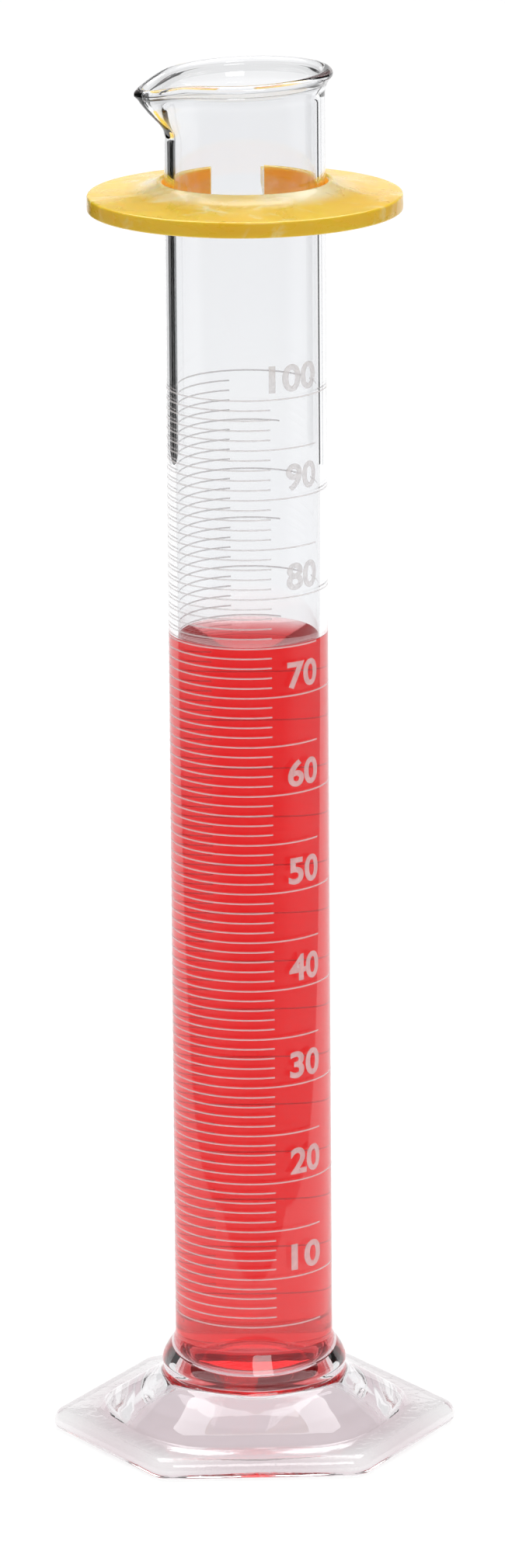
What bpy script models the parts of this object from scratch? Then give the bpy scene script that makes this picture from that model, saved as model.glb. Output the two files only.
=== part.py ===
"""Graduated cylinder for 100 mL: a glass tube with a beaded, spouted mouth, fused at its heel to a pressed
hexagonal foot, a plastic bumper guard that slides on the tube, and the coloured liquid it holds.

Metres, +Z up. The origin is the centre of the foot's underside, and two of the foot's corners point along
+X and -X. A horizontal direction is an azimuth: degrees from +X, counted towards +Y.
"""

import math

import bmesh
import bpy
from mathutils import Matrix

MM = 0.001
CLEARANCE = 0.3 * MM  # between pieces that touch on the real object

# Bore and scale: one millilitre stands as high in the bore as its volume needs.
BORE_RADIUS = 13.08 * MM
BORE_FILLET = 2.5 * MM
BORE_FLOOR_Z = 12.68 * MM  # round the edge of the floor
BORE_HUMP = 4.6 * MM  # the floor's middle stands this much higher, over the hollow in the foot
FILLET_CENTROID = 0.2234  # of a fillet's own section, from the wall, in fillet radii
FILL_ML = 75
MILLILITRE = 1e-6

# Tube, heel and mouth
WALL = 1.67 * MM
TUBE_RADIUS = BORE_RADIUS + WALL
HEEL_Z = 11.8 * MM
HEEL_BULGE = 2.55 * MM  # how far the heel stands out from the tube
HEEL_TOP_Z = 18.8 * MM
HEEL_TUCK = 0.3 * MM  # the heel's lower edge turns in by this much
SEAT_DOME_RADIUS = 10.4 * MM  # the glass of the heel and of the foot meet on a dome
SEAT_DOME_RISE = 3.4 * MM
BEAD_Z = 258.4 * MM  # centre of the rolled bead, on the side away from the spout
BEAD_RADIUS = 16.25 * MM  # outside of the bead
BEAD_HALF_WIDTH = 1.18 * MM
BEAD_HALF_HEIGHT = 0.98 * MM
NECK_LENGTH = 3.6 * MM  # over which the wall flares out into the bead
BORE_FLARE_DROP = 0.6 * MM  # the bore's flare sits this much lower than the outside's
SPOUT_ROWS = (4.6, 5.8, 7.0, 8.2, 9.5, 11.0, 12.6)  # mm below the bead, rings that the spout bends

# Pouring spout
SPOUT_AZIMUTH = 196.0
SPOUT_REACH = 4.75 * MM
SPOUT_SPREAD = 19.0  # degrees to each side within which most of the pull lies
SPOUT_LIP_HEIGHT = 1.3 * MM  # below the bead's centre, where the pull starts to fade
SPOUT_DEPTH = 10.0 * MM  # and how far below that the channel runs
LIP_DIP = 1.7 * MM  # the lip bends down at the spout
LIP_DIP_SPREAD = 22.0  # degrees
RIM_SLOPE = 1.1 * MM  # and the whole rim leans a little towards it
RIM_SLOPE_DEPTH = 22.0 * MM

# Hexagonal foot
FOOT_APOTHEM = 33.4 * MM
FOOT_CORNER = 5.0 * MM
FLANGE_HEIGHT = 4.0 * MM
FLANGE_TOP_ROUND = 1.6 * MM
FLANGE_BOTTOM_ROUND = 1.2 * MM
RECESS_RADIUS = 25.0 * MM
RECESS_DEPTH = 12.0 * MM  # of the domed hollow underneath
RECESS_POWER = 2.4
CONE_APOTHEM = 26.9 * MM
CONE_BASE_Z = 5.0 * MM
CONE_TOP_APOTHEM = 18.2 * MM
CONE_TOP_Z = 10.6 * MM
SHOULDER_OUT = 1.5 * MM  # the flange turns up into the cone's foot from here
SHOULDER_RISE = 0.05 * MM
STEP_OUT = 0.55 * MM
STEP_RISE = 0.4 * MM
NECK_OUT = 0.35 * MM  # the cone ends this far outside the foot's top
NECK_RISE = 0.5 * MM
FOOT_TOP_RADIUS = 17.0 * MM
FOOT_TOP_Z = HEEL_Z - CLEARANCE

# Bumper guard
GUARD_Z = 236.2 * MM  # top of its outer edge
GUARD_RADIUS = 28.95 * MM
GUARD_BORE = TUBE_RADIUS + 0.35 * MM
GUARD_EDGE_HEIGHT = 3.0 * MM
GUARD_HUB_RISE = 2.6 * MM
GUARD_HUB_DROP = 0.95 * MM
GUARD_HUB_WALL = 3.0 * MM
GUARD_HUB_ROUND = 0.8 * MM
GUARD_CONE_SHARE = 0.36  # of the hub's rise comes from the disc's shallow cone, the rest from a fillet
GUARD_FILLET_POWER = 4.5
GUARD_EDGE_ROUND = 0.4 * MM
GUARD_SLOT_LEFT = -6.4 * MM  # the slot's two walls run straight back, at these X
GUARD_SLOT_RIGHT = 4.4 * MM

# Meniscus
MENISCUS_RISE = 1.9 * MM
MENISCUS_LENGTH = 3.6 * MM  # over which it dies away from the wall
CONTACT_DROP = 0.35 * MM  # the wetted edge stands this far under the fill mark

TUBE_SEGMENTS = 64
SEAT_STEPS = 4
GUARD_SEGMENTS = 72
LIQUID_SEGMENTS = 48
ARC_STEPS = 4

COLOURS = {
    "clear_glass": ((0.93, 0.95, 0.95), 0.02, 1.0),
    "guard_plastic": ((0.86, 0.55, 0.07), 0.28, 0.0),
    "red_liquid": ((0.75, 0.02, 0.02), 0.02, 0.6),
}


def clear_scene():
    for obj in list(bpy.data.objects):
        bpy.data.objects.remove(obj, do_unlink=True)


def material(name):
    colour, roughness, transmission = COLOURS[name]
    made = bpy.data.materials.new(name)
    made.use_nodes = True
    shader = made.node_tree.nodes["Principled BSDF"]
    shader.inputs["Base Color"].default_value = (*colour, 1.0)
    shader.inputs["Roughness"].default_value = roughness
    shader.inputs["Metallic"].default_value = 0.0
    shader.inputs["Transmission Weight"].default_value = transmission
    return made


def add_object(name, bm, parent, material_name):
    """Closes off a bmesh as a named, smooth-shaded object with its own material."""
    bmesh.ops.recalc_face_normals(bm, faces=bm.faces)
    mesh = bpy.data.meshes.new(name)
    bm.to_mesh(mesh)
    bm.free()
    mesh.shade_smooth()
    mesh.set_sharp_from_angle(angle=math.radians(35))
    mesh.materials.append(material(material_name))
    obj = bpy.data.objects.new(name, mesh)
    bpy.context.collection.objects.link(obj)
    obj.parent = parent
    return obj


def add_empty(name):
    empty = bpy.data.objects.new(name, None)
    bpy.context.collection.objects.link(empty)
    return empty


def arc(centre, radii, start, end, steps):
    """Points (radius, height) along a quarter or half turn, angles in degrees from outwards to up."""
    points = []
    for step in range(steps + 1):
        angle = math.radians(start + (end - start) * step / steps)
        across = centre[0] + radii[0] * math.cos(angle)
        points.append((across, centre[1] + radii[1] * math.sin(angle)))
    return points


def turned(profile, segments, closed=False):
    """Spins a profile of (radius, height) points about Z. Points on the axis merge into one."""
    bm = bmesh.new()
    corners = [bm.verts.new((radius, 0.0, height)) for radius, height in profile]
    ends = corners[1:] + corners[:1] if closed else corners[1:]
    edges = [bm.edges.new(pair) for pair in zip(corners, ends)]
    bmesh.ops.spin(
        bm,
        geom=corners + edges,
        cent=(0, 0, 0),
        axis=(0, 0, 1),
        angle=math.tau,
        steps=segments,
        use_merge=True,
    )
    bmesh.ops.remove_doubles(bm, verts=bm.verts, dist=0.001 * MM)
    return bm


def fill_height(millilitres):
    """Height in the bore of a volume, with the fillet and the hump at the floor allowed for."""
    section = math.pi * BORE_RADIUS**2
    fillet_area = (1 - math.pi / 4) * BORE_FILLET**2
    fillet_centroid = BORE_RADIUS - FILLET_CENTROID * BORE_FILLET
    fillet_volume = math.tau * fillet_centroid * fillet_area
    hump_volume = math.pi * (BORE_RADIUS - BORE_FILLET) ** 2 * BORE_HUMP / 2
    return BORE_FLOOR_Z + (millilitres * MILLILITRE + fillet_volume + hump_volume) / section


def seat_dome(height):
    """From the axis out along the dome on which the heel sits on the foot."""
    points = []
    for step in range(SEAT_STEPS + 1):
        share = step / SEAT_STEPS
        points.append((SEAT_DOME_RADIUS * share, height + SEAT_DOME_RISE * (1 - share**2)))
    return points


def heel_profile():
    """From the axis out along the heel's underside and up its bulge to the straight tube."""
    points = seat_dome(HEEL_Z) + [(FOOT_TOP_RADIUS - HEEL_TUCK, HEEL_Z)]
    low = HEEL_Z + HEEL_TUCK
    for step in range(9):
        rise = step / 8
        bulge = math.cos(math.pi * max(0.0, (rise - 0.2) / 0.8) / 2) ** 1.4
        tuck = HEEL_TUCK * max(0.0, 1 - rise / 0.2)
        points.append((TUBE_RADIUS + HEEL_BULGE * bulge - tuck, low + rise * (HEEL_TOP_Z - low)))
    return points


def mouth_profile():
    """Up the outside of the neck, over the rolled bead and down to the straight bore."""
    centre = (BEAD_RADIUS - BEAD_HALF_WIDTH, BEAD_Z)
    inner_edge = centre[0] - BEAD_HALF_WIDTH
    points = [(TUBE_RADIUS, BEAD_Z - below * MM) for below in reversed(SPOUT_ROWS)]
    for share in (0.0, 0.25, 0.5, 0.7):
        flare = (BEAD_RADIUS - TUBE_RADIUS) * share**1.7
        points.append((TUBE_RADIUS + flare, BEAD_Z - NECK_LENGTH * (1 - share)))
    points += arc(centre, (BEAD_HALF_WIDTH, BEAD_HALF_HEIGHT), -25, 195, 10)
    for share in (0.7, 0.4, 0.2, 0.0):
        flare = (inner_edge - BORE_RADIUS) * share**1.5
        height = BEAD_Z - NECK_LENGTH * (1 - share) - BORE_FLARE_DROP
        points.append((BORE_RADIUS + flare, height))
    points += [(BORE_RADIUS, BEAD_Z - below * MM) for below in SPOUT_ROWS[1:]]
    return points


def bore_floor_profile(gap):
    """Down the bore, round the fillet and in along the floor, kept inwards by the gap."""
    radius = BORE_FILLET - gap
    centre = (BORE_RADIUS - BORE_FILLET, BORE_FLOOR_Z + BORE_FILLET)
    points = arc(centre, (radius, radius), 0, -90, ARC_STEPS)
    for share in (0.8, 0.6, 0.4, 0.2, 0.0):
        points.append((centre[0] * share, BORE_FLOOR_Z + gap + BORE_HUMP * (1 - share**2)))
    return points


def pull_spout(bm):
    """Draws the rim out and down on one side, as the hot glass is drawn to make a spout."""
    for vertex in bm.verts:
        radius = math.hypot(vertex.co.x, vertex.co.y)
        below = BEAD_Z - vertex.co.z
        if radius < TUBE_RADIUS / 2 or below > RIM_SLOPE_DEPTH:
            continue
        azimuth = math.degrees(math.atan2(vertex.co.y, vertex.co.x))
        off = abs((azimuth - SPOUT_AZIMUTH + 180) % 360 - 180)
        depth = min(1.0, max(0.0, (below - SPOUT_LIP_HEIGHT) / SPOUT_DEPTH))
        pull = SPOUT_REACH * math.exp(-((off / SPOUT_SPREAD) ** 1.6))
        pull *= ((1 + math.cos(math.pi * depth)) / 2) ** 1.3
        dip = LIP_DIP * math.exp(-((off / LIP_DIP_SPREAD) ** 2))
        dip += RIM_SLOPE * (1 + math.cos(math.radians(off))) / 2
        dip *= min(1.0, 1 - below / RIM_SLOPE_DEPTH) ** 1.5
        grown = (radius + pull) / radius
        vertex.co.x *= grown
        vertex.co.y *= grown
        vertex.co.z -= dip


def make_tube(parent):
    profile = heel_profile() + mouth_profile() + bore_floor_profile(0.0)
    bm = turned(profile, TUBE_SEGMENTS)
    pull_spout(bm)
    return add_object("glass_tube", bm, parent, "clear_glass")


def foot_azimuths():
    """Directions of the foot's corners and sides: closer together where a corner is rounded."""
    steps = (-4.0, -2.0, 0.0, 2.0, 4.0, 9.0, 16.0, 23.0, 30.0, 37.0, 44.0, 51.0)
    return [60.0 * side + step for side in range(6) for step in steps]


def hexagon_reach(azimuth, apothem, corner):
    """Distance from the centre to a hexagon's side, or to the arc that rounds its corner."""
    from_corner = abs((azimuth + 30) % 60 - 30)
    from_side = math.radians(30 - from_corner)
    flat_end = math.atan((apothem - corner) * math.tan(math.radians(30)) / apothem)
    if from_side <= flat_end:
        return apothem / math.cos(from_side)
    to_arc = (apothem - corner) / math.cos(math.radians(30))
    turn = math.radians(from_corner)
    return to_arc * math.cos(turn) + math.sqrt(corner**2 - (to_arc * math.sin(turn)) ** 2)


def foot_rings():
    """(apothem, corner radius, height) of each ring, from the recess under the foot up to its top."""
    rings = []
    for share in (0.0, 0.12, 0.25, 0.38, 0.5, 0.62, 0.74, 0.86, 1.0):
        radius = RECESS_RADIUS * share
        rings.append((radius, radius, RECESS_DEPTH * (1 - share**RECESS_POWER)))
    bottom = arc(
        (-FLANGE_BOTTOM_ROUND, FLANGE_BOTTOM_ROUND),
        (FLANGE_BOTTOM_ROUND, FLANGE_BOTTOM_ROUND),
        -90,
        0,
        3,
    )
    top = arc(
        (-FLANGE_TOP_ROUND, FLANGE_HEIGHT - FLANGE_TOP_ROUND),
        (FLANGE_TOP_ROUND, FLANGE_TOP_ROUND),
        0,
        90,
        4,
    )
    for inset, height in bottom + top:
        rings.append((FOOT_APOTHEM + inset, FOOT_CORNER + inset, height))
    shoulder = CONE_APOTHEM + SHOULDER_OUT
    rings.append((shoulder, 0.55 * shoulder, FLANGE_HEIGHT + SHOULDER_RISE))
    step = CONE_APOTHEM + STEP_OUT
    rings.append((step, 0.5 * step, FLANGE_HEIGHT + STEP_RISE))
    for share, roundness in ((0.0, 0.45), (0.35, 0.32), (0.75, 0.35), (1.0, 0.6)):
        apothem = CONE_APOTHEM + (CONE_TOP_APOTHEM - CONE_APOTHEM) * share
        height = CONE_BASE_Z + (CONE_TOP_Z - CONE_BASE_Z) * share
        rings.append((apothem, roundness * apothem, height))
    neck = FOOT_TOP_RADIUS + NECK_OUT
    rings.append((neck, neck, CONE_TOP_Z + NECK_RISE))
    rings.append((FOOT_TOP_RADIUS, FOOT_TOP_RADIUS, FOOT_TOP_Z))
    rings += [(radius, radius, height) for radius, height in reversed(seat_dome(FOOT_TOP_Z))]
    return rings


def make_foot(parent):
    bm = bmesh.new()
    azimuths = foot_azimuths()
    loops = []
    for apothem, corner, height in foot_rings():
        loop = []
        for azimuth in azimuths:
            reach = hexagon_reach(azimuth, apothem, corner) if apothem > 0 else 0.0
            turn = Matrix.Rotation(math.radians(azimuth), 3, "Z")
            loop.append(bm.verts.new(turn.col[0] * reach + turn.col[2] * height))
        loops.append(loop)
    for lower, upper in zip(loops, loops[1:]):
        for index in range(len(azimuths)):
            after = (index + 1) % len(azimuths)
            bm.faces.new((lower[index], lower[after], upper[after], upper[index]))
    bmesh.ops.remove_doubles(bm, verts=bm.verts, dist=0.001 * MM)
    return add_object("hex_foot", bm, parent, "clear_glass")


def guard_rise(share):
    """Height of the guard's top at a share of the way out from its collar: a shallow cone and a fillet."""
    inward = 1 - share
    fillet = (1 - GUARD_CONE_SHARE) * inward**GUARD_FILLET_POWER
    return GUARD_HUB_RISE * (GUARD_CONE_SHARE * inward + fillet)


def guard_profile():
    """Closed outline of the guard's section, heights counted from the top of its outer edge."""
    edge = GUARD_EDGE_ROUND
    outer = GUARD_RADIUS - edge
    points = arc((outer, -edge), (edge, edge), 90, 0, 3)
    points += arc((outer, -GUARD_EDGE_HEIGHT + edge), (edge, edge), 0, -90, 3)
    hub_bottom = -GUARD_EDGE_HEIGHT - GUARD_HUB_DROP
    points.append((GUARD_BORE + GUARD_HUB_WALL, hub_bottom))
    points += arc((GUARD_BORE + edge, hub_bottom + edge), (edge, edge), 270, 180, 2)
    hub_centre = (GUARD_BORE + GUARD_HUB_ROUND, GUARD_HUB_RISE - GUARD_HUB_ROUND)
    points += arc(hub_centre, (GUARD_HUB_ROUND, GUARD_HUB_ROUND), 180, 70, 4)
    for share in (0.06, 0.14, 0.24, 0.38, 0.6, 0.8):
        radius = hub_centre[0] + (outer - hub_centre[0]) * share
        points.append((radius, guard_rise(share)))
    return points


def make_guard(parent):
    profile = guard_profile()
    guard = add_object(
        "bumper_guard", turned(profile, GUARD_SEGMENTS, closed=True), parent, "guard_plastic"
    )
    guard.location.z = GUARD_Z
    near, far = GUARD_BORE / 2, GUARD_RADIUS + 5 * MM
    size = Matrix.Diagonal((GUARD_SLOT_RIGHT - GUARD_SLOT_LEFT, far - near, 20 * MM, 1.0))
    middle = Matrix.Translation(((GUARD_SLOT_LEFT + GUARD_SLOT_RIGHT) / 2, (near + far) / 2, 0))
    bm = bmesh.new()
    bmesh.ops.create_cube(bm, size=1.0, matrix=middle @ size)
    slot = add_object("guard_slot_cutter", bm, guard, "guard_plastic")
    slot.hide_render = True
    slot.display_type = "WIRE"
    cut = guard.modifiers.new("slot", "BOOLEAN")
    cut.operation = "DIFFERENCE"
    cut.object = slot
    return guard


def make_liquid(parent):
    edge_z = fill_height(FILL_ML) - CONTACT_DROP
    radius = BORE_RADIUS - CLEARANCE
    profile = []
    for share in (0.0, 0.3, 0.5, 0.65, 0.77, 0.87, 0.94, 1.0):
        from_wall = radius * (1 - share)
        climb = MENISCUS_RISE * math.exp(-from_wall / MENISCUS_LENGTH)
        profile.append((radius * share, edge_z - MENISCUS_RISE + climb))
    profile += bore_floor_profile(CLEARANCE)
    return add_object("red_liquid", turned(profile, LIQUID_SEGMENTS), parent, "red_liquid")


def build():
    clear_scene()
    root = add_empty("graduated_cylinder")
    make_foot(root)
    make_tube(root)
    make_liquid(root)
    make_guard(root)


build()
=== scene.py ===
"""Looks of a 100 mL graduated cylinder: clear glass with a spouted, beaded mouth on a pressed hexagonal foot,
an enamelled scale, a yellow plastic bumper guard and red liquid up to the 75 mL line.

Metres, +Z up. A horizontal direction is an azimuth: degrees from +X, counted towards +Y.
"""

import math

import bmesh
import bpy
from mathutils import Matrix, Vector


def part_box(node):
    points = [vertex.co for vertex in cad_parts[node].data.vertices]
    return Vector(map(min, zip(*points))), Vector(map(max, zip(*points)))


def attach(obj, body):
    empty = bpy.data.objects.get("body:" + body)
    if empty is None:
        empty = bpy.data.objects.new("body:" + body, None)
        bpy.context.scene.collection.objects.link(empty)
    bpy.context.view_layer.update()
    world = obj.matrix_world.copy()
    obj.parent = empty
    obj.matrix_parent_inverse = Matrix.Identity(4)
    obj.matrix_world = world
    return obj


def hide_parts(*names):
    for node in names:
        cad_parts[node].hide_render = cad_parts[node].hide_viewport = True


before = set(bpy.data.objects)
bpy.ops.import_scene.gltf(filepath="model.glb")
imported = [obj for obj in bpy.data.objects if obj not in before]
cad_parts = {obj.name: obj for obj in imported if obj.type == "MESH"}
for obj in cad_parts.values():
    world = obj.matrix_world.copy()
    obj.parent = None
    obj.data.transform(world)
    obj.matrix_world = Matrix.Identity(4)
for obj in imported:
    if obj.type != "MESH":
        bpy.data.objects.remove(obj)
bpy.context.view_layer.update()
node_boxes = {node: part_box(node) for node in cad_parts}

MM = 0.001
CLEARANCE = 0.3 * MM  # the CAD parts pieces that touch by this much

# Bore and scale, as in the CAD
BORE_RADIUS = node_boxes["red_liquid"][1].x + CLEARANCE
BORE_FLOOR_Z = 12.68 * MM
BORE_FILLET = 2.5 * MM
BORE_HUMP = 4.6 * MM  # the hollow under the foot lifts the middle of the bore's floor
FILL_ML = 75
MILLILITRE = 1e-6
WALL = 1.67 * MM
TUBE_RADIUS = BORE_RADIUS + WALL
FILLET_CENTROID = 0.2234  # of a fillet's radius, from its corner to the middle of its area

# Heel and mouth
HEEL_Z = node_boxes["glass_tube"][0].z
HEEL_BULGE = 2.55 * MM
HEEL_BULGE_POWER = 1.4
HEEL_TUCK = 0.3 * MM
HEEL_TUCK_SHARE = 0.2  # of the heel's height
HEEL_TOP_Z = HEEL_Z + 7.0 * MM
BEAD_HALF_WIDTH = 1.18 * MM
BEAD_HALF_HEIGHT = 0.98 * MM
BEAD_Z = node_boxes["glass_tube"][1].z - BEAD_HALF_HEIGHT
BEAD_RADIUS = 16.25 * MM
NECK_LENGTH = 3.6 * MM
NECK_SHARE = 0.72  # how much of the flare is done where the bead takes over
OUTER_FLARE_POWER = 1.7
INNER_FLARE_POWER = 1.5
BORE_FLARE_DROP = 0.6 * MM
MOUTH_DEPTH = 24.0 * MM
MOUTH_ROWS = 48

# Pouring spout
SPOUT_AZIMUTH = 196.0
SPOUT_REACH = 4.75 * MM
SPOUT_SPREAD = 19.0  # degrees
SPOUT_SHARPNESS = 1.6
SPOUT_FADE_POWER = 1.3
SPOUT_LIP_HEIGHT = 1.3 * MM
SPOUT_DEPTH = 10.0 * MM
LIP_DIP = 1.7 * MM
LIP_DIP_SPREAD = 22.0  # degrees
RIM_SLOPE = 1.1 * MM
RIM_SLOPE_DEPTH = 22.0 * MM
RIM_SLOPE_POWER = 1.5
STRAIGHT_DEPTH = 25.7 * MM  # the tube below this is plain
STRAIGHT_ROWS = 40

# Hexagonal foot
FOOT_APOTHEM = node_boxes["hex_foot"][1].y
FOOT_CORNER = 5.0 * MM
FINE_SPAN = 12.0  # degrees about each corner that are meshed more finely
SPAN_STEPS = 20
FLANGE_HEIGHT = 4.0 * MM
FLANGE_TOP_ROUND = 2.3 * MM
FLANGE_BOTTOM_ROUND = 1.6 * MM
RECESS_RADIUS = 25.0 * MM
RECESS_DEPTH = 12.0 * MM
RECESS_POWER = 2.4
CONE_APOTHEM = 26.9 * MM
CONE_BASE_Z = 5.0 * MM
CONE_TOP_APOTHEM = 18.2 * MM
CONE_TOP_Z = 10.6 * MM
CONE_FILLET = 1.9 * MM
CONE_SHELF = 0.9 * MM  # from the cone's foot out to its fillet's centre
SHELF_ROUNDNESS = 0.5  # corner radius over apothem
CONE_ROUNDNESS = 0.3
CONE_ROUNDNESS_TOP = 0.3  # more at the top
CONE_ROUNDNESS_FOOT = 0.15  # more at the foot
COLLAR_APOTHEM = 17.35 * MM
COLLAR_SPREAD = 0.3 * MM
COLLAR_RISE = 0.35 * MM
COLLAR_ROUNDNESS = 0.8

# Scale
LINE_WIDTH = 0.3 * MM
ENAMEL_SUNK = 0.03 * MM
ENAMEL_PROUD = 0.02 * MM
LINE_STEP = 3.0  # degrees
LINE_SPANS = {1: (101.6, 284.8), 5: (61.7, 325.5), 10: (38.0, 384.0)}
LOWEST_LINE = 5
HIGHEST_LINE = 100
NUMERAL_HEIGHT = 5.15 * MM
NUMERAL_GAP = 1.2 * MM  # from a line up to the numeral's foot
NUMERAL_END_AZIMUTH = 325.6
NUMERAL_WIDTHS = {2: 7.45 * MM, 3: 10.7 * MM}
NUMERAL_WEIGHT = 0.03  # how much the strokes are thickened, of the letters' size
NUMERAL_SLICE = 0.45 * MM  # numerals are cut this finely so that they bend round the tube

# Bumper guard
GUARD_LOW, GUARD_HIGH = node_boxes["bumper_guard"]
GUARD_RADIUS = 28.95 * MM
GUARD_BORE = TUBE_RADIUS + 0.35 * MM
GUARD_HUB_RISE = 2.6 * MM
GUARD_CONE_SHARE = 0.36
GUARD_FILLET_POWER = 4.5
GUARD_EDGE_HEIGHT = 3.0 * MM
GUARD_HUB_DROP = 0.95 * MM
GUARD_HUB_ROUND = 0.8 * MM
GUARD_COLLAR_WALL = 3.0 * MM
GUARD_STEPS = 240
GUARD_Z = 236.2 * MM
GUARD_EDGE_ROUND = 0.4 * MM
GUARD_SLOT_LEFT = -6.4 * MM  # the slot's two walls run straight back, at these X
GUARD_SLOT_RIGHT = 4.4 * MM

# Liquid
WETTING = 0.06 * MM  # the liquid reaches this far into the glass, so that no film of air parts them
MENISCUS_RISE = 1.9 * MM
MENISCUS_LENGTH = 3.6 * MM

# Camera
CAMERA_AZIMUTH = 268.0
CAMERA_DISTANCE = 1.68565
CAMERA_HEIGHT = 0.54905
CAMERA_PITCH = 14.128
CAMERA_ROLL = 0.455
CAMERA_YAW = 0.018
CAMERA_LENS = 214.8
SENSOR = 36.0

# Studio
BEHIND = CAMERA_AZIMUTH - 180  # the direction in which the camera looks
ROOM_LIGHT = 0.08
TOP_BOX_Z = 1.3
TOP_BOX_HALF_WIDTH = 0.9
TOP_BOX_SPAN = (-0.1, 1.1)  # along Y
TOP_BOX_RADIANCE = 4.0
FLOOR_REACH = 6.0
FLOOR_GLOW = 0.87
FLOOR_DIM_GLOW = 0.4
FLOOR_DIM_FROM = 0.4  # this far towards the camera the floor is dim
SWEEP_FRONT = 0.12  # the floor that shows in reflections begins this far in front of the axis
SWEEP_HALF_WIDTH = 0.12
SWEEP_SPREAD = 0.88  # and widens this much for each metre back, on each side
SHADOW_INNER = 24 * MM
SHADOW_OUTER = 35.5 * MM
SHADOW_TINT = (0.80, 0.70, 0.73)
SURROUND_RADIUS = 5.5
SURROUND_GLOW = 0.86


def principled(name, settings):
    made = bpy.data.materials.new(name)
    made.use_nodes = True
    shader = made.node_tree.nodes["Principled BSDF"]
    for socket, value in settings.items():
        shader.inputs[socket].default_value = value
    return made, shader


def add_node(tree, kind, settings=None):
    """A shader node with its settings: plain names are node settings, the others are inputs."""
    node = tree.nodes.new(kind)
    for name, value in (settings or {}).items():
        if name in node.inputs:
            node.inputs[name].default_value = value
        else:
            setattr(node, name, value)
    return node


def ramp(tree, source, low, high, to_low=0.0, to_high=1.0, smooth=True):
    """The output of a node that maps a value's span onto another."""
    spans = {"From Min": low, "From Max": high, "To Min": to_low, "To Max": to_high}
    node = add_node(tree, "ShaderNodeMapRange", spans)
    if smooth:
        node.interpolation_type = "SMOOTHSTEP"
    tree.links.new(source, node.inputs["Value"])
    return node.outputs["Result"]


def mix(tree, share, first, second):
    """Blends two colours, each a node's output or a colour."""
    node = add_node(tree, "ShaderNodeMix")
    node.data_type = "RGBA"
    for socket, value in ((node.inputs[6], first), (node.inputs[7], second)):
        if isinstance(value, tuple):
            socket.default_value = (*value, 1.0)
        else:
            tree.links.new(value, socket)
    tree.links.new(share, node.inputs[0])
    return node.outputs[2]


def noise(tree, place, scale, detail=4.0, distortion=0.0, stretch=(1.0, 1.0, 1.0)):
    """Noise in metres: scale counts the features in a metre."""
    mapping = add_node(tree, "ShaderNodeMapping")
    mapping.inputs["Scale"].default_value = stretch
    tree.links.new(place, mapping.inputs["Vector"])
    node = add_node(tree, "ShaderNodeTexNoise", {"Scale": scale, "Detail": detail, "Distortion": distortion})
    tree.links.new(mapping.outputs["Vector"], node.inputs["Vector"])
    return node.outputs["Fac"]


def math_node(tree, operation, first, second):
    node = add_node(tree, "ShaderNodeMath", {"operation": operation})
    tree.links.new(first, node.inputs[0])
    tree.links.new(second, node.inputs[1])
    return node.outputs["Value"]


def from_origin(tree, place):
    """A point's distance from the origin."""
    node = add_node(tree, "ShaderNodeVectorMath", {"operation": "LENGTH"})
    tree.links.new(place, node.inputs[0])
    return node.outputs["Value"]


def coordinate(tree, place, axis):
    node = add_node(tree, "ShaderNodeSeparateXYZ")
    tree.links.new(place, node.inputs["Vector"])
    return node.outputs[axis]


def object_place(tree):
    return tree.nodes.new("ShaderNodeTexCoord").outputs["Object"]


def bump(tree, height, strength, distance):
    node = add_node(tree, "ShaderNodeBump", {"Strength": strength, "Distance": distance})
    tree.links.new(height, node.inputs["Height"])
    return node.outputs["Normal"]


def glass_material():
    """Clear glass, faintly cold, with the striae of drawn glass above and the pits of pressed glass below.
    Round the flange it is darker and pink, partly thick glass and partly painted shade.
    """
    made, shader = principled(
        "borosilicate_glass",
        {
            "Roughness": 0.0,
            "IOR": 1.47,
            "Specular IOR Level": 0.35,
            "Transmission Weight": 1.0,
        },
    )
    tree = made.node_tree
    place = object_place(tree)
    height = coordinate(tree, place, "Z")
    shades = ramp(tree, noise(tree, place, 30.0, 3.0), 0.3, 0.7)
    drawn_tint = mix(tree, shades, (0.93, 0.935, 0.948), (0.94, 0.945, 0.953))
    pressed = ramp(tree, height, HEEL_TOP_Z, CONE_BASE_Z)
    tint = mix(tree, pressed, drawn_tint, (0.945, 0.935, 0.95))
    # Round the flange the glass is tinted darker and pink. This is partly the tint of thick glass, and partly
    # a painted contact shadow and painted red light from the liquid.
    brim = ramp(tree, height, CONE_BASE_Z, FLANGE_HEIGHT)
    tree.links.new(mix(tree, brim, tint, (0.86, 0.835, 0.845)), shader.inputs["Base Color"])
    striae = noise(tree, place, 60.0, 2.0, 0.3, (1.0, 1.0, 0.12))
    drawn = math_node(tree, "MULTIPLY", striae, ramp(tree, height, CONE_BASE_Z, HEEL_TOP_Z, 0.0, 0.25))
    outside = ramp(tree, from_origin(tree, place), RECESS_RADIUS + 1.0 * MM, RECESS_RADIUS + 3.0 * MM)
    flange = math_node(tree, "MULTIPLY", outside, brim)
    pits = ramp(tree, noise(tree, place, 420.0, 3.0, 0.2), 0.42, 0.6)
    pitted = math_node(tree, "MULTIPLY", pits, flange)
    relief = math_node(tree, "ADD", drawn, pitted)
    tree.links.new(bump(tree, relief, 0.22, 0.08 * MM), shader.inputs["Normal"])
    return made


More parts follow.
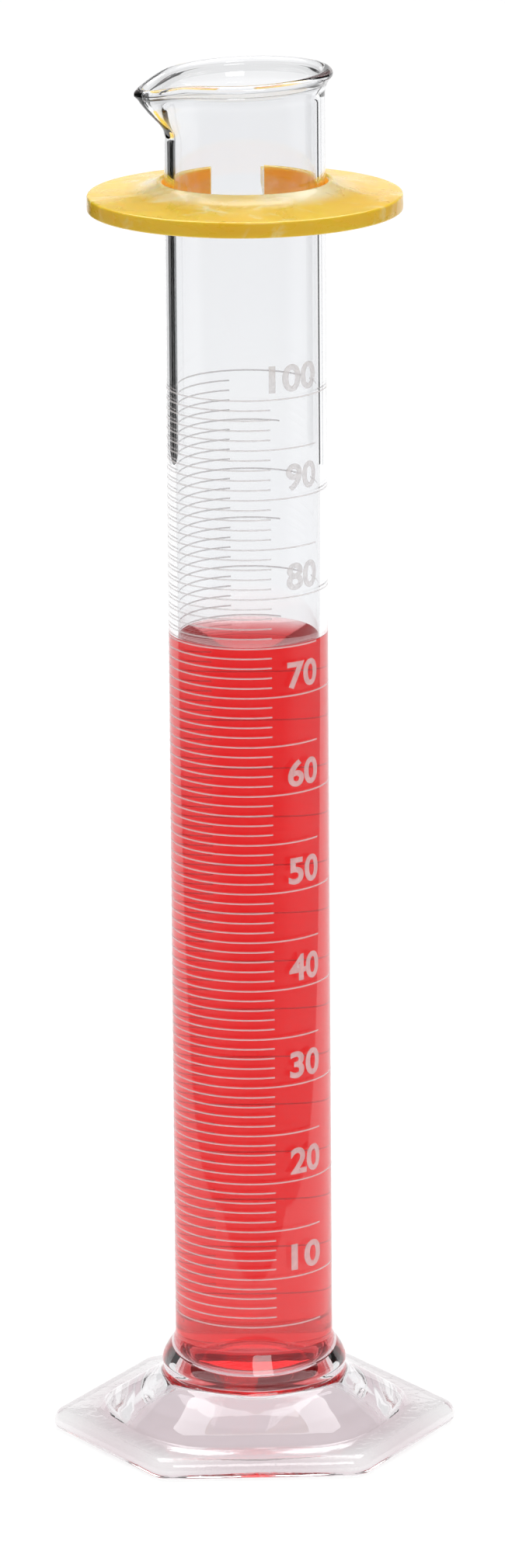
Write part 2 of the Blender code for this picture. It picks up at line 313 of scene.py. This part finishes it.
def liquid_material():
    """Red water: the dye soaks up green and blue, and a faint red glow of painted light brightens it."""
    made, shader = principled(
        "red_water",
        {
            "Roughness": 0.0,
            "IOR": 1.333,
            "Specular IOR Level": 0.05,
            "Transmission Weight": 1.0,
            # Painted light: a faint red glow that brightens the liquid.
            "Emission Color": (1.0, 0.03, 0.06, 1.0),
            "Emission Strength": 0.05,
        },
    )
    tree = made.node_tree
    swirls = ramp(tree, noise(tree, object_place(tree), 45.0, 2.0, 0.5), 0.3, 0.7)
    tree.links.new(mix(tree, swirls, (0.80, 0.79, 0.79), (0.82, 0.82, 0.82)), shader.inputs["Base Color"])
    dye = {"Color": (0.99, 0.03, 0.045, 1.0), "Density": 220.0}
    absorption = add_node(tree, "ShaderNodeVolumeAbsorption", dye)
    tree.links.new(absorption.outputs["Volume"], tree.nodes["Material Output"].inputs["Volume"])
    return made


def enamel_material():
    """Thin fired enamel that lets some light through, a little uneven, with a faint painted glow that stands
    in for front light.
    """
    made, shader = principled(
        "white_enamel",
        {
            "Roughness": 0.55,
            "Alpha": 0.4,
            # Painted light: a faint glow lifts the enamel as front light would.
            "Emission Color": (1.0, 0.93, 0.92, 1.0),
            "Emission Strength": 0.16,
        },
    )
    tree = made.node_tree
    place = object_place(tree)
    fired = ramp(tree, noise(tree, place, 900.0, 3.0), 0.35, 0.65)
    tree.links.new(mix(tree, fired, (0.76, 0.72, 0.72), (0.88, 0.83, 0.83)), shader.inputs["Base Color"])
    grain = noise(tree, place, 1800.0, 2.0)
    tree.links.new(bump(tree, grain, 0.4, 0.03 * MM), shader.inputs["Normal"])
    return made


def guard_material():
    """Soft yellow plastic with milky streaks, a painted pale sheen round its collar and a painted orange glow
    inside its bore.
    """
    made, shader = principled(
        "yellow_plastic",
        {
            "Subsurface Weight": 0.3,
            "Subsurface Radius": (1.0, 0.55, 0.12),
            "Subsurface Scale": 4.0 * MM,
            "IOR": 1.5,
            "Coat Weight": 0.45,
            "Coat Roughness": 0.1,
            # Colour of the painted glow on the bore's wall.
            "Emission Color": (1.0, 0.24, 0.0, 1.0),
        },
    )
    tree = made.node_tree
    place = object_place(tree)
    milky = ramp(tree, noise(tree, place, 70.0, 5.0, 2.2, (1.0, 1.8, 1.0)), 0.55, 0.74)
    deep = ramp(tree, noise(tree, place, 24.0, 3.0, 0.6), 0.35, 0.65)
    body = mix(tree, deep, (0.90, 0.53, 0.02), (0.91, 0.61, 0.045))
    colour = mix(tree, milky, body, (0.97, 0.80, 0.36))
    flat = add_node(tree, "ShaderNodeVectorMath", {"operation": "MULTIPLY"})
    flat.inputs[1].default_value = (1.0, 1.0, 0.0)
    tree.links.new(place, flat.inputs[0])
    radius = from_origin(tree, flat.outputs["Vector"])
    # Painted light: the bore's wall glows orange, standing in for light that reaches it through the tube and
    # the plastic.
    painted_bore_glow = ramp(tree, radius, GUARD_BORE + 0.3 * MM, GUARD_BORE, 0.0, 0.45)
    tree.links.new(painted_bore_glow, shader.inputs["Emission Strength"])
    # Painted highlight: a pale, patchy band round the collar stands in for the sheen of light on its slope.
    collar_sheen_reach = ramp(tree, radius, GUARD_BORE + 6.5 * MM, GUARD_BORE + 2.0 * MM)
    off_bore = ramp(tree, radius, GUARD_BORE + 0.4 * MM, GUARD_BORE + 1.2 * MM)
    collar_sheen = math_node(tree, "MULTIPLY", collar_sheen_reach, off_bore)
    uneven = ramp(tree, noise(tree, place, 50.0, 3.0, 0.5), 0.35, 0.65, 0.25, 0.85)
    patchy_collar_sheen = math_node(tree, "MULTIPLY", collar_sheen, uneven)
    tree.links.new(mix(tree, patchy_collar_sheen, colour, (0.90, 0.80, 0.52)), shader.inputs["Base Color"])
    smears = noise(tree, place, 140.0, 5.0, 0.8, (1.0, 1.0, 3.0))
    tree.links.new(ramp(tree, smears, 0.35, 0.7, 0.24, 0.42), shader.inputs["Roughness"])
    grain = noise(tree, place, 260.0, 6.0, 0.4)
    tree.links.new(bump(tree, grain, 0.35, 0.12 * MM), shader.inputs["Normal"])
    return made


def mesh_object(name, bm, material, body):
    """Closes off a bmesh as a smooth-shaded piece that rides on a body."""
    bmesh.ops.recalc_face_normals(bm, faces=bm.faces)
    mesh = bpy.data.meshes.new(name)
    bm.to_mesh(mesh)
    bm.free()
    mesh.shade_smooth()
    mesh.materials.append(material)
    obj = bpy.data.objects.new(name, mesh)
    bpy.context.collection.objects.link(obj)
    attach(obj, body)
    return obj


def arc(centre, radii, start, end, steps):
    points = []
    for step in range(steps + 1):
        angle = math.radians(start + (end - start) * step / steps)
        across = centre[0] + radii[0] * math.cos(angle)
        points.append((across, centre[1] + radii[1] * math.sin(angle)))
    return points


def loft(loops, closed=False):
    """Skins equal-length loops of points. A loop of one point closes that end with a fan."""
    bm = bmesh.new()
    rows = [[bm.verts.new(point) for point in loop] for loop in loops]
    pairs = list(zip(rows, rows[1:]))
    if closed:
        pairs.append((rows[-1], rows[0]))
    for lower, upper in pairs:
        count = max(len(lower), len(upper))
        for index in range(count):
            after = (index + 1) % count
            if len(lower) == 1:
                bm.faces.new((lower[0], upper[after], upper[index]))
            elif len(upper) == 1:
                bm.faces.new((lower[index], lower[after], upper[0]))
            else:
                bm.faces.new((lower[index], lower[after], upper[after], upper[index]))
    return bm


def fill_height(millilitres):
    section = math.pi * BORE_RADIUS**2
    fillet_area = (1 - math.pi / 4) * BORE_FILLET**2
    fillet_centroid = BORE_RADIUS - FILLET_CENTROID * BORE_FILLET
    fillet_volume = math.tau * fillet_centroid * fillet_area
    hump_volume = math.pi * (BORE_RADIUS - BORE_FILLET) ** 2 * BORE_HUMP / 2
    return BORE_FLOOR_Z + (millilitres * MILLILITRE + fillet_volume + hump_volume) / section


def foot_azimuths():
    """Directions all round, closer together at the foot's corners."""
    made = []
    fine = FINE_SPAN / SPAN_STEPS
    coarse = (60 - FINE_SPAN) / SPAN_STEPS
    for corner in range(0, 360, 60):
        made += [corner - FINE_SPAN / 2 + fine * step for step in range(SPAN_STEPS)]
        made += [corner + FINE_SPAN / 2 + coarse * step for step in range(SPAN_STEPS)]
    return made


def hexagon_reach(azimuth, apothem, corner):
    """How far out a hexagon with rounded corners lies in a direction. A corner points along +X."""
    from_corner = abs((azimuth + 30) % 60 - 30)
    from_side = math.radians(30 - from_corner)
    flat_end = math.atan((apothem - corner) * math.tan(math.radians(30)) / apothem)
    if from_side <= flat_end:
        return apothem / math.cos(from_side)
    to_arc = (apothem - corner) / math.cos(math.radians(30))
    turn = math.radians(from_corner)
    return to_arc * math.cos(turn) + math.sqrt(corner**2 - (to_arc * math.sin(turn)) ** 2)


def foot_rings():
    """(apothem, corner radius, height) from the recess under the foot up to the cone's top."""
    rings = []
    for step in range(1, 25):
        share = step / 24
        radius = RECESS_RADIUS * share
        rings.append((radius, radius, RECESS_DEPTH * (1 - share**RECESS_POWER)))
    bottom = arc(
        (-FLANGE_BOTTOM_ROUND, FLANGE_BOTTOM_ROUND),
        (FLANGE_BOTTOM_ROUND, FLANGE_BOTTOM_ROUND),
        -90,
        0,
        8,
    )
    top = arc(
        (-FLANGE_TOP_ROUND, FLANGE_HEIGHT - FLANGE_TOP_ROUND),
        (FLANGE_TOP_ROUND, FLANGE_TOP_ROUND),
        0,
        90,
        10,
    )
    for inset, height in bottom + top:
        rings.append((FOOT_APOTHEM + inset, FOOT_CORNER + inset, height))
    slope = math.degrees(math.atan2(CONE_TOP_Z - CONE_BASE_Z, CONE_APOTHEM - CONE_TOP_APOTHEM))
    fillet_centre = (CONE_APOTHEM + CONE_SHELF, FLANGE_HEIGHT + CONE_FILLET)
    for across, height in arc(fillet_centre, (CONE_FILLET, CONE_FILLET), 270, 270 - slope, 6):
        rings.append((across, SHELF_ROUNDNESS * across, height))
    for step in range(1, 9):
        share = step / 8
        apothem = CONE_APOTHEM + (CONE_TOP_APOTHEM - CONE_APOTHEM) * share
        height = CONE_BASE_Z + (CONE_TOP_Z - CONE_BASE_Z) * share
        roundness = CONE_ROUNDNESS + CONE_ROUNDNESS_TOP * share**3 + CONE_ROUNDNESS_FOOT * (1 - share) ** 3
        rings.append((apothem, roundness * apothem, height))
    collar = COLLAR_APOTHEM + COLLAR_SPREAD
    rings.append((collar, COLLAR_ROUNDNESS * COLLAR_APOTHEM, CONE_TOP_Z + COLLAR_RISE))
    return rings


def heel_rings():
    """(radius, height) up the heel's bulge, from the foot to the straight tube."""
    rings = []
    for step in range(25):
        rise = step / 24
        above_tuck = max(0.0, (rise - HEEL_TUCK_SHARE) / (1 - HEEL_TUCK_SHARE))
        bulge = math.cos(math.pi * above_tuck / 2) ** HEEL_BULGE_POWER
        tuck = HEEL_TUCK * max(0.0, 1 - rise / HEEL_TUCK_SHARE)
        height = HEEL_Z + rise * (HEEL_TOP_Z - HEEL_Z)
        radius = TUBE_RADIUS + HEEL_BULGE * bulge - tuck
        rings.append((radius, height))
    return rings


def mouth_profile():
    """(radius, height) up the outside of the mouth, over the bead and down the inside."""
    centre = (BEAD_RADIUS - BEAD_HALF_WIDTH, BEAD_Z)
    inner_edge = centre[0] - BEAD_HALF_WIDTH
    points = []
    for step in range(MOUTH_ROWS):
        below = MOUTH_DEPTH + (NECK_LENGTH - MOUTH_DEPTH) * step / MOUTH_ROWS
        points.append((TUBE_RADIUS, BEAD_Z - below))
    for step in range(9):
        share = NECK_SHARE * step / 8
        flare = (BEAD_RADIUS - TUBE_RADIUS) * share**OUTER_FLARE_POWER
        points.append((TUBE_RADIUS + flare, BEAD_Z - NECK_LENGTH * (1 - share)))
    points += arc(centre, (BEAD_HALF_WIDTH, BEAD_HALF_HEIGHT), -25, 195, 24)
    for step in range(9):
        share = NECK_SHARE * (1 - step / 8)
        flare = (inner_edge - BORE_RADIUS) * share**INNER_FLARE_POWER
        points.append((BORE_RADIUS + flare, BEAD_Z - NECK_LENGTH * (1 - share) - BORE_FLARE_DROP))
    for step in range(1, MOUTH_ROWS):
        below = NECK_LENGTH + BORE_FLARE_DROP
        below += (MOUTH_DEPTH - below) * step / MOUTH_ROWS
        points.append((BORE_RADIUS, BEAD_Z - below))
    return points


def bore_floor_profile(reach):
    """Down the bore's fillet and in along its floor, moved outwards by reach."""
    radius = BORE_FILLET + reach
    centre = (BORE_RADIUS - BORE_FILLET, BORE_FLOOR_Z + BORE_FILLET)
    points = arc(centre, (radius, radius), 0, -90, 12)
    for step in range(1, 16):
        share = 1 - step / 16
        points.append((centre[0] * share, BORE_FLOOR_Z - reach + BORE_HUMP * (1 - share**2)))
    return points


def spouted(point):
    """A point of the mouth, drawn out and down towards the spout."""
    radius = math.hypot(point.x, point.y)
    below = BEAD_Z - point.z
    if radius < TUBE_RADIUS / 2 or below > RIM_SLOPE_DEPTH:
        return point
    azimuth = math.degrees(math.atan2(point.y, point.x))
    off = abs((azimuth - SPOUT_AZIMUTH + 180) % 360 - 180)
    depth = min(1.0, max(0.0, (below - SPOUT_LIP_HEIGHT) / SPOUT_DEPTH))
    pull = SPOUT_REACH * math.exp(-((off / SPOUT_SPREAD) ** SPOUT_SHARPNESS))
    pull *= ((1 + math.cos(math.pi * depth)) / 2) ** SPOUT_FADE_POWER
    dip = LIP_DIP * math.exp(-((off / LIP_DIP_SPREAD) ** 2))
    dip += RIM_SLOPE * (1 + math.cos(math.radians(off))) / 2
    dip *= min(1.0, 1 - below / RIM_SLOPE_DEPTH) ** RIM_SLOPE_POWER
    grown = (radius + pull) / radius
    return Vector((point.x * grown, point.y * grown, point.z - dip))


def ring_loop(azimuths, apothem, corner, height):
    loop = []
    for azimuth in azimuths:
        reach = hexagon_reach(azimuth, apothem, corner)
        turn = math.radians(azimuth)
        loop.append(Vector((reach * math.cos(turn), reach * math.sin(turn), height)))
    return loop


def make_glass():
    """Tube and foot in one skin: up the outside from the recess under the foot, and down the bore."""
    azimuths = foot_azimuths()
    straight_top = BEAD_Z - STRAIGHT_DEPTH
    tube = straight_top - HEEL_TOP_Z
    bore = BORE_FLOOR_Z + BORE_FILLET - straight_top
    rows = STRAIGHT_ROWS + 1
    circles = heel_rings()
    circles += [(TUBE_RADIUS, HEEL_TOP_Z + tube * step / STRAIGHT_ROWS) for step in range(1, rows)]
    circles += mouth_profile()
    circles += [(BORE_RADIUS, straight_top + bore * step / rows) for step in range(rows)]
    circles += bore_floor_profile(0.0)
    rings = foot_rings() + [(radius, radius, height) for radius, height in circles]
    loops = [[Vector((0, 0, RECESS_DEPTH))]]
    loops += [ring_loop(azimuths, *ring) for ring in rings]
    loops.append([Vector((0, 0, BORE_FLOOR_Z + BORE_HUMP))])
    loops = [[spouted(point) for point in loop] for loop in loops]
    obj = mesh_object("glass_body", loft(loops), glass_material(), "glass")
    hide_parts("glass_tube", "hex_foot")
    return obj


def meniscus(radius):
    """How far the liquid has climbed above its flat level at a distance from the axis."""
    from_wall = max(0.0, BORE_RADIUS - radius)
    return MENISCUS_RISE * math.exp(-from_wall / MENISCUS_LENGTH)


def make_liquid():
    """The fill, with its meniscus, a hair wider than the bore."""
    edge_z = fill_height(FILL_ML)
    radius = BORE_RADIUS + WETTING
    profile = []
    for step in range(1, 41):
        share = 1 - (1 - step / 40) ** 2
        profile.append((radius * share, edge_z - MENISCUS_RISE + meniscus(radius * share)))
    low = BORE_FLOOR_Z + BORE_FILLET
    profile += [(radius, edge_z + (low - edge_z) * step / 24) for step in range(1, 24)]
    profile += bore_floor_profile(WETTING)
    azimuths = [1.5 * step for step in range(240)]
    loops = [[Vector((0, 0, edge_z - MENISCUS_RISE + meniscus(0.0)))]]
    loops += [ring_loop(azimuths, across, across, height) for across, height in profile]
    loops.append([Vector((0, 0, BORE_FLOOR_Z + BORE_HUMP - WETTING))])
    obj = mesh_object("liquid_fill", loft(loops), liquid_material(), "glass")
    obj.data.set_sharp_from_angle(angle=math.radians(40))
    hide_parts("red_liquid")
    return obj


def wrap(azimuth, height, depth):
    turn = math.radians(azimuth)
    radius = TUBE_RADIUS + depth
    return Vector((radius * math.cos(turn), radius * math.sin(turn), height))


def add_line(bm, start, end, height):
    """One graduation line: a thin strip of enamel round part of the tube."""
    steps = round((end - start) / LINE_STEP)
    half = LINE_WIDTH / 2
    section = ((-half, -ENAMEL_SUNK), (-half, ENAMEL_PROUD), (half, ENAMEL_PROUD), (half, -ENAMEL_SUNK))
    rows = []
    for step in range(steps + 1):
        azimuth = start + (end - start) * step / steps
        rows.append([bm.verts.new(wrap(azimuth, height + up, depth)) for up, depth in section])
    for row, after in zip(rows, rows[1:]):
        for index in range(4):
            other = (index + 1) % 4
            bm.faces.new((row[index], row[other], after[other], after[index]))
    bm.faces.new(rows[0])
    bm.faces.new(reversed(rows[-1]))


def make_lines(enamel):
    bm = bmesh.new()
    for mark in range(LOWEST_LINE, HIGHEST_LINE + 1):
        kind = 10 if mark % 10 == 0 else 5 if mark % 5 == 0 else 1
        add_line(bm, *LINE_SPANS[kind], fill_height(mark))
    return mesh_object("graduation_lines", bm, enamel, "glass")


def letters(text):
    """A text as a flat mesh, with its left, right, lowest and highest coordinates."""
    curve = bpy.data.curves.new("lettering", "FONT")
    curve.body = text
    curve.size = 1.0
    curve.offset = NUMERAL_WEIGHT
    curve.resolution_u = 6
    carrier = bpy.data.objects.new("lettering", curve)
    bpy.context.collection.objects.link(carrier)
    bpy.context.view_layer.update()
    mesh = bpy.data.meshes.new_from_object(carrier.evaluated_get(bpy.context.evaluated_depsgraph_get()))
    bpy.data.objects.remove(carrier, do_unlink=True)
    bm = bmesh.new()
    bm.from_mesh(mesh)
    bpy.data.meshes.remove(mesh)
    xs = [vertex.co.x for vertex in bm.verts]
    ys = [vertex.co.y for vertex in bm.verts]
    return bm, min(xs), max(xs), min(ys), max(ys)


def add_text(target, text, height, width, end_azimuth, foot_z):
    """Adds raised enamel numerals that end at an azimuth and stand on a height."""
    bm, left, right, low, high = letters(text)
    across = width / (right - left)
    up = height / (high - low)
    for vertex in bm.verts:
        vertex.co.x = (vertex.co.x - right) * across
        vertex.co.y = (vertex.co.y - low) * up
        vertex.co.z = 0.0
    bmesh.ops.remove_doubles(bm, verts=bm.verts, dist=0.001 * MM)
    bmesh.ops.dissolve_limit(bm, angle_limit=0.01, verts=bm.verts, edges=bm.edges)
    cut = -width
    while cut < 0:
        cut += NUMERAL_SLICE
        geometry = bm.verts[:] + bm.edges[:] + bm.faces[:]
        bmesh.ops.bisect_plane(bm, geom=geometry, plane_co=(cut, 0, 0), plane_no=(1, 0, 0))
    bmesh.ops.recalc_face_normals(bm, faces=bm.faces)
    made = bmesh.ops.extrude_face_region(bm, geom=bm.faces[:], use_keep_orig=True)
    raised = {item for item in made["geom"] if isinstance(item, bmesh.types.BMVert)}
    for vertex in bm.verts:
        depth = ENAMEL_PROUD if vertex in raised else -ENAMEL_SUNK
        azimuth = end_azimuth + math.degrees(vertex.co.x / TUBE_RADIUS)
        vertex.co = wrap(azimuth, foot_z + vertex.co.y, depth)
    bmesh.ops.recalc_face_normals(bm, faces=bm.faces)
    mesh = bpy.data.meshes.new("lettering")
    bm.to_mesh(mesh)
    bm.free()
    target.from_mesh(mesh)
    bpy.data.meshes.remove(mesh)


def make_numerals(enamel):
    bm = bmesh.new()
    for mark in range(10, HIGHEST_LINE + 1, 10):
        text = str(mark)
        foot_z = fill_height(mark) + NUMERAL_GAP
        add_text(bm, text, NUMERAL_HEIGHT, NUMERAL_WIDTHS[len(text)], NUMERAL_END_AZIMUTH, foot_z)
    return mesh_object("numerals", bm, enamel, "glass")


def guard_rise(share):
    """Height of the guard's top at a share of the way out from its collar: a shallow cone and a fillet."""
    inward = 1 - share
    return GUARD_HUB_RISE * (GUARD_CONE_SHARE * inward + (1 - GUARD_CONE_SHARE) * inward**GUARD_FILLET_POWER)


def guard_section():
    """Closed outline of the guard's section: (radius, height above the top of its outer edge)."""
    edge = GUARD_EDGE_ROUND
    outer = GUARD_RADIUS - edge
    points = arc((outer, -edge), (edge, edge), 90, 0, 6)
    points += arc((outer, -GUARD_EDGE_HEIGHT + edge), (edge, edge), 0, -90, 6)
    hub_bottom = -GUARD_EDGE_HEIGHT - GUARD_HUB_DROP
    points.append((GUARD_BORE + GUARD_COLLAR_WALL, hub_bottom))
    points += arc((GUARD_BORE + edge, hub_bottom + edge), (edge, edge), 270, 180, 5)
    hub_centre = (GUARD_BORE + GUARD_HUB_ROUND, GUARD_HUB_RISE - GUARD_HUB_ROUND)
    points += arc(hub_centre, (GUARD_HUB_ROUND, GUARD_HUB_ROUND), 180, 70, 8)
    for step in range(1, 24):
        share = step / 24
        radius = hub_centre[0] + (outer - hub_centre[0]) * share
        points.append((radius, guard_rise(share)))
    return points


def make_guard():
    """The guard's section swept round the tube, from one wall of its slot to the other."""
    section = guard_section()
    loops = []
    for step in range(GUARD_STEPS + 1):
        share = step / GUARD_STEPS
        loop = []
        for radius, height in section:
            start = math.degrees(math.acos(GUARD_SLOT_LEFT / radius))
            end = 360 + math.degrees(math.acos(GUARD_SLOT_RIGHT / radius))
            azimuth = start + (end - start) * share
            turn = math.radians(azimuth)
            loop.append(Vector((radius * math.cos(turn), radius * math.sin(turn), GUARD_Z + height)))
        loops.append(loop)
    bm = loft(loops)
    bm.verts.ensure_lookup_table()
    count = len(section)
    bm.faces.new(list(bm.verts)[:count])
    bm.faces.new(list(reversed(list(bm.verts)[-count:])))
    obj = mesh_object("guard_ring", bm, guard_material(), "guard")
    obj.data.set_sharp_from_angle(angle=math.radians(40))
    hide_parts("bumper_guard")
    return obj


def glowing_material(name, radiance):
    """Even white light of a radiance. A card of none is black."""
    made = bpy.data.materials.new(name)
    made.use_nodes = True
    nodes = made.node_tree.nodes
    nodes.remove(nodes["Principled BSDF"])
    glow = nodes.new("ShaderNodeEmission")
    glow.inputs["Color"].default_value = (1.0, 1.0, 1.0, 1.0)
    glow.inputs["Strength"].default_value = radiance
    made.node_tree.links.new(glow.outputs["Emission"], nodes["Material Output"].inputs["Surface"])
    return made


def stage_card(name, outline, radiance):
    """A flat emitting card that only lights the object and shows in its reflections."""
    mesh = bpy.data.meshes.new(name)
    mesh.from_pydata(outline, [], [(0, 1, 2, 3)])
    mesh.materials.append(glowing_material(name, radiance))
    obj = bpy.data.objects.new(name, mesh)
    bpy.context.collection.objects.link(obj)
    obj.visible_camera = False


def facing_card(name, azimuth, distance, width, low, high, radiance, lean=0.0):
    """A card that stands across a line from the axis, seen from it between two heights."""
    turn = math.radians(azimuth)
    out = Vector((math.cos(turn), math.sin(turn), 0))
    side = Vector((-out.y, out.x, 0)) * width / 2
    foot = out * distance + Vector((0, 0, low))
    head = out * (distance + lean) + Vector((0, 0, high))
    stage_card(name, [foot - side, foot + side, head + side, head - side], radiance)


def floor_material():
    """A pale floor that glows, dimmer towards the camera and a little in the foot's contact shadow."""
    made, shader = principled(
        "floor_white",
        {
            "Base Color": (0.16, 0.16, 0.16, 1.0),
            "Roughness": 0.9,
        },
    )
    tree = made.node_tree
    place = object_place(tree)
    forward = coordinate(tree, place, "Y")
    glow = ramp(tree, forward, -FLOOR_DIM_FROM, -SWEEP_FRONT, FLOOR_DIM_GLOW, FLOOR_GLOW)
    tree.links.new(glow, shader.inputs["Emission Strength"])
    shade = ramp(tree, from_origin(tree, place), SHADOW_INNER, SHADOW_OUTER)
    tree.links.new(mix(tree, shade, SHADOW_TINT, (1.0, 1.0, 1.0)), shader.inputs["Emission Color"])
    return made


def make_floor():
    """One pale floor in two pieces. Only the piece under and behind the object shows in its reflections."""
    made = floor_material()
    far = FLOOR_REACH
    wide = SWEEP_HALF_WIDTH + SWEEP_SPREAD * (far + SWEEP_FRONT)
    near = [(-SWEEP_HALF_WIDTH, -SWEEP_FRONT, 0), (SWEEP_HALF_WIDTH, -SWEEP_FRONT, 0)]
    ends = [(wide, far, 0), (-wide, far, 0)]
    square = [(-far, -far, 0), (far, -far, 0), (far, far, 0), (-far, far, 0)]
    rest = [(4, 5, 1, 0), (5, 6, 2, 1), (3, 7, 4, 0)]
    sweep_piece = ("floor_sweep", near + ends, [(0, 1, 2, 3)])
    rest_piece = ("floor", near + ends + square, rest)
    for name, points, faces in (sweep_piece, rest_piece):
        mesh = bpy.data.meshes.new(name)
        mesh.from_pydata(points, [], faces)
        mesh.materials.append(made)
        obj = bpy.data.objects.new(name, mesh)
        bpy.context.collection.objects.link(obj)
        obj.visible_glossy = name == "floor_sweep"


def make_surround():
    """A pale wall all round, far off. It fills the picture behind the object and lights nothing."""
    bm = bmesh.new()
    bmesh.ops.create_uvsphere(bm, u_segments=48, v_segments=24, radius=SURROUND_RADIUS)
    mesh = bpy.data.meshes.new("surround")
    bm.to_mesh(mesh)
    bm.free()
    mesh.materials.append(glowing_material("surround", SURROUND_GLOW))
    obj = bpy.data.objects.new("surround", mesh)
    bpy.context.collection.objects.link(obj)
    obj.visible_diffuse = False
    obj.visible_glossy = False
    obj.visible_transmission = False
    obj.visible_shadow = False


def make_world():
    world = bpy.data.worlds.new("studio")
    bpy.context.scene.world = world
    world.use_nodes = True
    background = world.node_tree.nodes["Background"]
    background.inputs["Color"].default_value = (1.0, 1.0, 1.0, 1.0)
    background.inputs["Strength"].default_value = ROOM_LIGHT


def make_studio():
    make_floor()
    make_surround()
    make_world()
    facing_card("backdrop", BEHIND, distance=2.4, width=6.0, low=0.0, high=0.8, radiance=0.9)
    facing_card("flag_left", BEHIND + 37.5, distance=0.35, width=0.18, low=0.112, high=0.34, radiance=0.0)
    facing_card("flag_right", BEHIND - 41, distance=0.35, width=0.03, low=0.112, high=0.34, radiance=0.0)
    key_azimuth = CAMERA_AZIMUTH + 13
    facing_card("key_box", key_azimuth, distance=1.3, width=0.6, low=0.75, high=1.25, radiance=6.5, lean=-0.3)
    near, far = TOP_BOX_SPAN
    low_edge = [(-TOP_BOX_HALF_WIDTH, near, TOP_BOX_Z), (TOP_BOX_HALF_WIDTH, near, TOP_BOX_Z)]
    high_edge = [(TOP_BOX_HALF_WIDTH, far, TOP_BOX_Z), (-TOP_BOX_HALF_WIDTH, far, TOP_BOX_Z)]
    stage_card("top_box", low_edge + high_edge, TOP_BOX_RADIANCE)


def make_camera():
    data = bpy.data.cameras.new("camera")
    data.sensor_width = SENSOR
    data.lens = CAMERA_LENS
    data.clip_start = 0.01
    data.clip_end = 50.0
    camera = bpy.data.objects.new("camera", data)
    bpy.context.collection.objects.link(camera)
    turn = math.radians(CAMERA_AZIMUTH)
    camera.location = (CAMERA_DISTANCE * math.cos(turn), CAMERA_DISTANCE * math.sin(turn), CAMERA_HEIGHT)
    heading = Matrix.Rotation(turn + math.pi / 2 - math.radians(CAMERA_YAW), 4, "Z")
    tilt = Matrix.Rotation(math.radians(90 - CAMERA_PITCH), 4, "X")
    roll = Matrix.Rotation(-math.radians(CAMERA_ROLL), 4, "Z")
    camera.rotation_euler = (heading @ tilt @ roll).to_euler()
    bpy.context.scene.camera = camera


def light_paths():
    cycles = bpy.context.scene.cycles
    cycles.max_bounces = 32
    cycles.transmission_bounces = 32
    cycles.glossy_bounces = 16
    cycles.diffuse_bounces = 4
    cycles.transparent_max_bounces = 16
    cycles.sample_clamp_indirect = 6.0


def main():
    enamel = enamel_material()
    make_glass()
    make_liquid()
    make_lines(enamel)
    make_numerals(enamel)
    make_guard()
    make_studio()
    make_camera()
    light_paths()
    bpy.context.scene.view_settings.view_transform = "Standard"


main()
